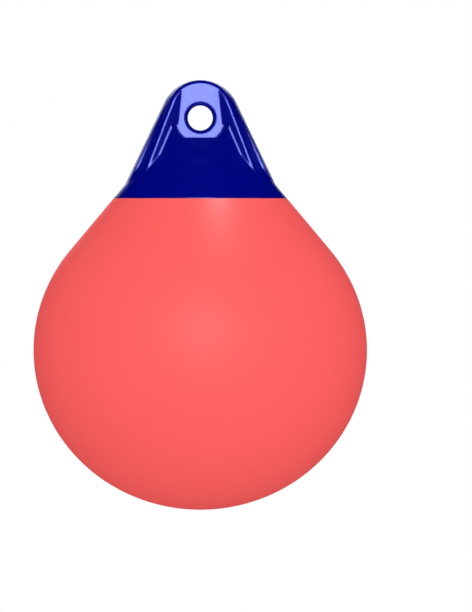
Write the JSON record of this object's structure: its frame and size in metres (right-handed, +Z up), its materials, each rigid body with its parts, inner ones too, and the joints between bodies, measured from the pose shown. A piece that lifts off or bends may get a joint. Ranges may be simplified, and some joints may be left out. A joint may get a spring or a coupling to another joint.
{
  "type": "inflatable mooring buoy",
  "caption": "Drop-shaped inflatable buoy of soft vinyl with a moulded rope hold and rope eye on top and a screw valve behind it.",
  "frame": {"origin": "centre of the rope eye, on the mid-plane of the rope hold", "axes": "+X across the buoy, +Y along the rope eye from the front to the valve's side, +Z up along the buoy's axis"},
  "size_m": [0.295, 0.295, 0.38],
  "materials": {
    "body_vinyl": "glossy soft vinyl, coral red",
    "hold_vinyl": "glossy hard vinyl, dark blue",
    "bush_nylon": "moulded black nylon",
    "screw_nylon": "moulded white nylon",
    "seal_rubber": "plain black rubber"
  },
  "bodies": {
    "root": {"body": "body_vinyl", "rope_hold": "hold_vinyl", "valve_bush": "bush_nylon", "valve_screw": "screw_nylon", "valve_seal": "seal_rubber"}
  },
  "joints": []
}
